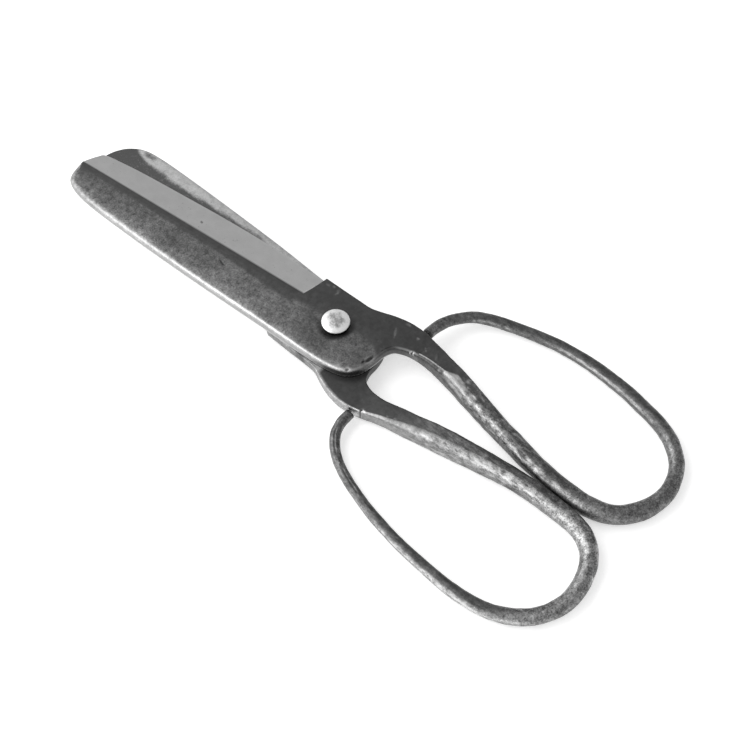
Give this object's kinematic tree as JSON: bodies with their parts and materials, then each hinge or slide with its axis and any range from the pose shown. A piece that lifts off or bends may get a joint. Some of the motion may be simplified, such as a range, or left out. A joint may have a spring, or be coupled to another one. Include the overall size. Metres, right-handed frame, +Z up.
{
  "type": "fabric shears",
  "caption": "Hand-forged fabric shears with broad bevelled blades, one domed rivet and open bows bent from the shanks, closed.",
  "frame": {"origin": "on the pivot axis, in the plane of the table that the closed shears lie on, at the flat underside of the rivet's peened tail", "axes": "+X from the pivot towards the bows with the tips towards -X, +Y towards the bow of the upper half, +Z up out of the table along the pivot axis"},
  "size_m": [0.2493, 0.1027, 0.0123],
  "materials": {
    "upper_iron": "blackened forged iron, worn bright on edges and on the ground bevel",
    "lower_iron": "blackened forged iron, ground bright on the inner face and worn on the shank",
    "rivet_steel": "hammered dome, worn bright",
    "washer_steel": "dull grey steel"
  },
  "bodies": {
    "lower_body": {"lower_half": "lower_iron", "pivot_rivet": "rivet_steel", "rivet_washer": "washer_steel"},
    "upper_body": {"upper_half": "upper_iron"}
  },
  "joints": [
    {"name": "blade_pivot", "type": "hinge", "parent": "lower_body", "child": "upper_body", "pos_m": [0, 0, 0], "axis": [0, 0, 1], "range_deg": [0, 100]}
  ]
}
